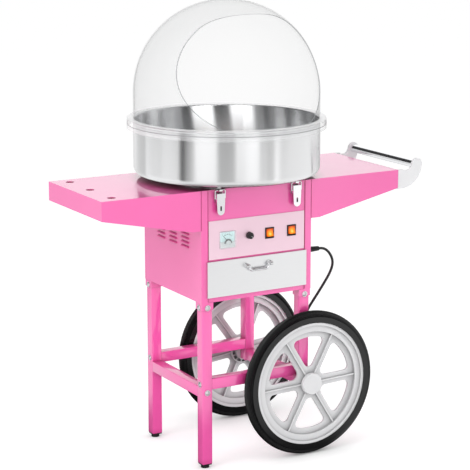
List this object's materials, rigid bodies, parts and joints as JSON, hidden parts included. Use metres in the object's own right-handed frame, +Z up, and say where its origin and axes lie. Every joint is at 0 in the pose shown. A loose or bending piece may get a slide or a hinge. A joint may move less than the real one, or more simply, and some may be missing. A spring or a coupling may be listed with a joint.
{
  "type": "cotton candy cart",
  "caption": "Wheeled sweet-vending cart: sheet cabinet with controls and a drawer, spinning sugar head in a steel bowl under a clear open-front dome, side trays, push handle and large wheels.",
  "frame": {"origin": "on the floor, under the middle of the whole cart without its mains lead", "axes": "+Z up, -Y toward the operator's side with the controls, +X toward the push handle and wheels"},
  "size_m": [1.025, 0.558, 1.2818],
  "materials": {
    "pink_enamel": "pink powder coat, satin",
    "pale_panel": "pale silver-pink enamel, satin",
    "bowl_steel": "polished stainless sheet",
    "drawer_steel": "brushed stainless sheet",
    "bright_chrome": "bright plated",
    "zinc": "zinc plated",
    "cast_aluminium": "machined aluminium",
    "copper_alloy": "turned copper alloy",
    "clear_dome": "clear acrylic",
    "grey_plastic": "moulded light grey",
    "black_plastic": "moulded black",
    "dark_plastic": "moulded dark grey",
    "dial_card": "printed card",
    "meter_grey": "moulded grey",
    "meter_clear": "clear polystyrene",
    "lamp_orange": "translucent orange, lit",
    "motor_grey": "grey enamel",
    "tyre_black": "black rubber",
    "cord_black": "black flexible sheath"
  },
  "bodies": {
    "cart": {"leg_front_left": "pink_enamel", "leg_back_left": "pink_enamel", "leg_front_right": "pink_enamel", "leg_back_right": "pink_enamel", "feet": "dark_plastic", "stretcher_front": "pink_enamel", "stretcher_back": "pink_enamel", "stretcher_left": "pink_enamel", "stretcher_right": "pink_enamel", "axle": "zinc", "frame_bolts": "zinc", "floor_pan": "pink_enamel", "side_panel_left": "pink_enamel", "side_panel_right": "pink_enamel", "back_panel": "pink_enamel", "front_panel": "pink_enamel", "top_plate": "pink_enamel", "tray_left": "pink_enamel", "tray_right": "pink_enamel", "handle_brackets": "grey_plastic", "push_bar": "bright_chrome", "control_panel": "pale_panel", "meter_housing": "meter_grey", "meter_dial": "dial_card", "meter_lens": "meter_clear", "power_regulator": "dark_plastic", "switch_housings": "black_plastic", "latch_bases": "bright_chrome", "bowl_hooks": "bright_chrome", "motor": "motor_grey", "motor_mount": "zinc", "brush_block": "dark_plastic", "bowl": "bowl_steel", "cord_gland": "black_plastic", "power_cord": "cord_black", "cord_coil": "cord_black", "power_plug": "black_plastic"},
    "wheel_front": {"wheel_front": "grey_plastic", "tyre_front": "tyre_black", "hub_cap_front": "grey_plastic"},
    "wheel_back": {"wheel_back": "grey_plastic", "tyre_back": "tyre_black", "hub_cap_back": "grey_plastic"},
    "spinner": {"drive_shaft": "zinc", "slip_ring": "copper_alloy", "spinner_pan": "cast_aluminium", "heater_band": "copper_alloy", "spinner_cover": "cast_aluminium"},
    "dome": {"dome": "clear_dome"},
    "drawer": {"drawer_tray": "drawer_steel", "drawer_front": "drawer_steel"},
    "drawer_bail": {"drawer_bail": "bright_chrome"},
    "power_knob": {"power_knob": "black_plastic"},
    "heat_rocker": {"heat_rocker": "lamp_orange"},
    "motor_rocker": {"motor_rocker": "lamp_orange"},
    "meter_needle": {"meter_needle": "black_plastic"},
    "latch_lever_left": {"latch_lever_left": "bright_chrome"},
    "latch_lever_right": {"latch_lever_right": "bright_chrome"},
    "latch_bail_left": {"latch_bail_left": "bright_chrome"},
    "latch_bail_right": {"latch_bail_right": "bright_chrome"}
  },
  "joints": [
    {"name": "wheel_front_spin", "type": "hinge", "parent": "cart", "child": "wheel_front", "pos_m": [0.1136, -0.192, 0.208], "axis": [0, 1, 0], "continuous": true},
    {"name": "wheel_back_spin", "type": "hinge", "parent": "cart", "child": "wheel_back", "pos_m": [0.1136, 0.192, 0.208], "axis": [0, 1, 0], "continuous": true},
    {"name": "head_spin", "type": "hinge", "parent": "cart", "child": "spinner", "pos_m": [-0.0425, 0, 0.832], "axis": [0, 0, 1], "continuous": true},
    {"name": "dome_lift", "type": "slide", "parent": "cart", "child": "dome", "axis": [0, 0, 1], "range_m": [0, 0.2]},
    {"name": "drawer_slide", "type": "slide", "parent": "cart", "child": "drawer", "axis": [0, -1, 0], "range_m": [0, 0.22]},
    {"name": "drawer_bail_swing", "type": "hinge", "parent": "drawer", "child": "drawer_bail", "pos_m": [-0.0425, -0.179, 0.566], "axis": [-1, 0, 0], "range_deg": [0, 90]},
    {"name": "power_knob_turn", "type": "hinge", "parent": "cart", "child": "power_knob", "pos_m": [-0.0712, -0.168, 0.6505], "axis": [0, 1, 0], "range_deg": [0, 300]},
    {"name": "heat_switch", "type": "hinge", "parent": "cart", "child": "heat_rocker", "pos_m": [-0.0035, -0.163, 0.649], "axis": [1, 0, 0], "range_deg": [0, 18]},
    {"name": "motor_switch", "type": "hinge", "parent": "cart", "child": "motor_rocker", "pos_m": [0.06749, -0.163, 0.649], "axis": [1, 0, 0], "range_deg": [0, 18]},
    {"name": "meter_sweep", "type": "hinge", "parent": "cart", "child": "meter_needle", "pos_m": [-0.13799, -0.1738, 0.64], "axis": [0, 1, 0], "range_deg": [0, 80], "stiffness_Nm_per_rad": 0.0008},
    {"name": "latch_left", "type": "hinge", "parent": "cart", "child": "latch_lever_left", "pos_m": [-0.1635, -0.176, 0.772], "axis": [-1, 0, 0], "range_deg": [0, 100]},
    {"name": "latch_right", "type": "hinge", "parent": "cart", "child": "latch_lever_right", "pos_m": [0.0785, -0.176, 0.772], "axis": [-1, 0, 0], "range_deg": [0, 100]},
    {"name": "latch_bail_left_swing", "type": "hinge", "parent": "latch_lever_left", "child": "latch_bail_left", "pos_m": [-0.1635, -0.176, 0.763], "axis": [-1, 0, 0], "range_deg": [-67, 0]},
    {"name": "latch_bail_right_swing", "type": "hinge", "parent": "latch_lever_right", "child": "latch_bail_right", "pos_m": [0.0785, -0.176, 0.763], "axis": [-1, 0, 0], "range_deg": [-67, 0]}
  ],
  "couplings": [
    {"joint": "latch_bail_left_swing", "follows": "latch_left", "ratio": -0.67},
    {"joint": "latch_bail_right_swing", "follows": "latch_right", "ratio": -0.67}
  ]
}
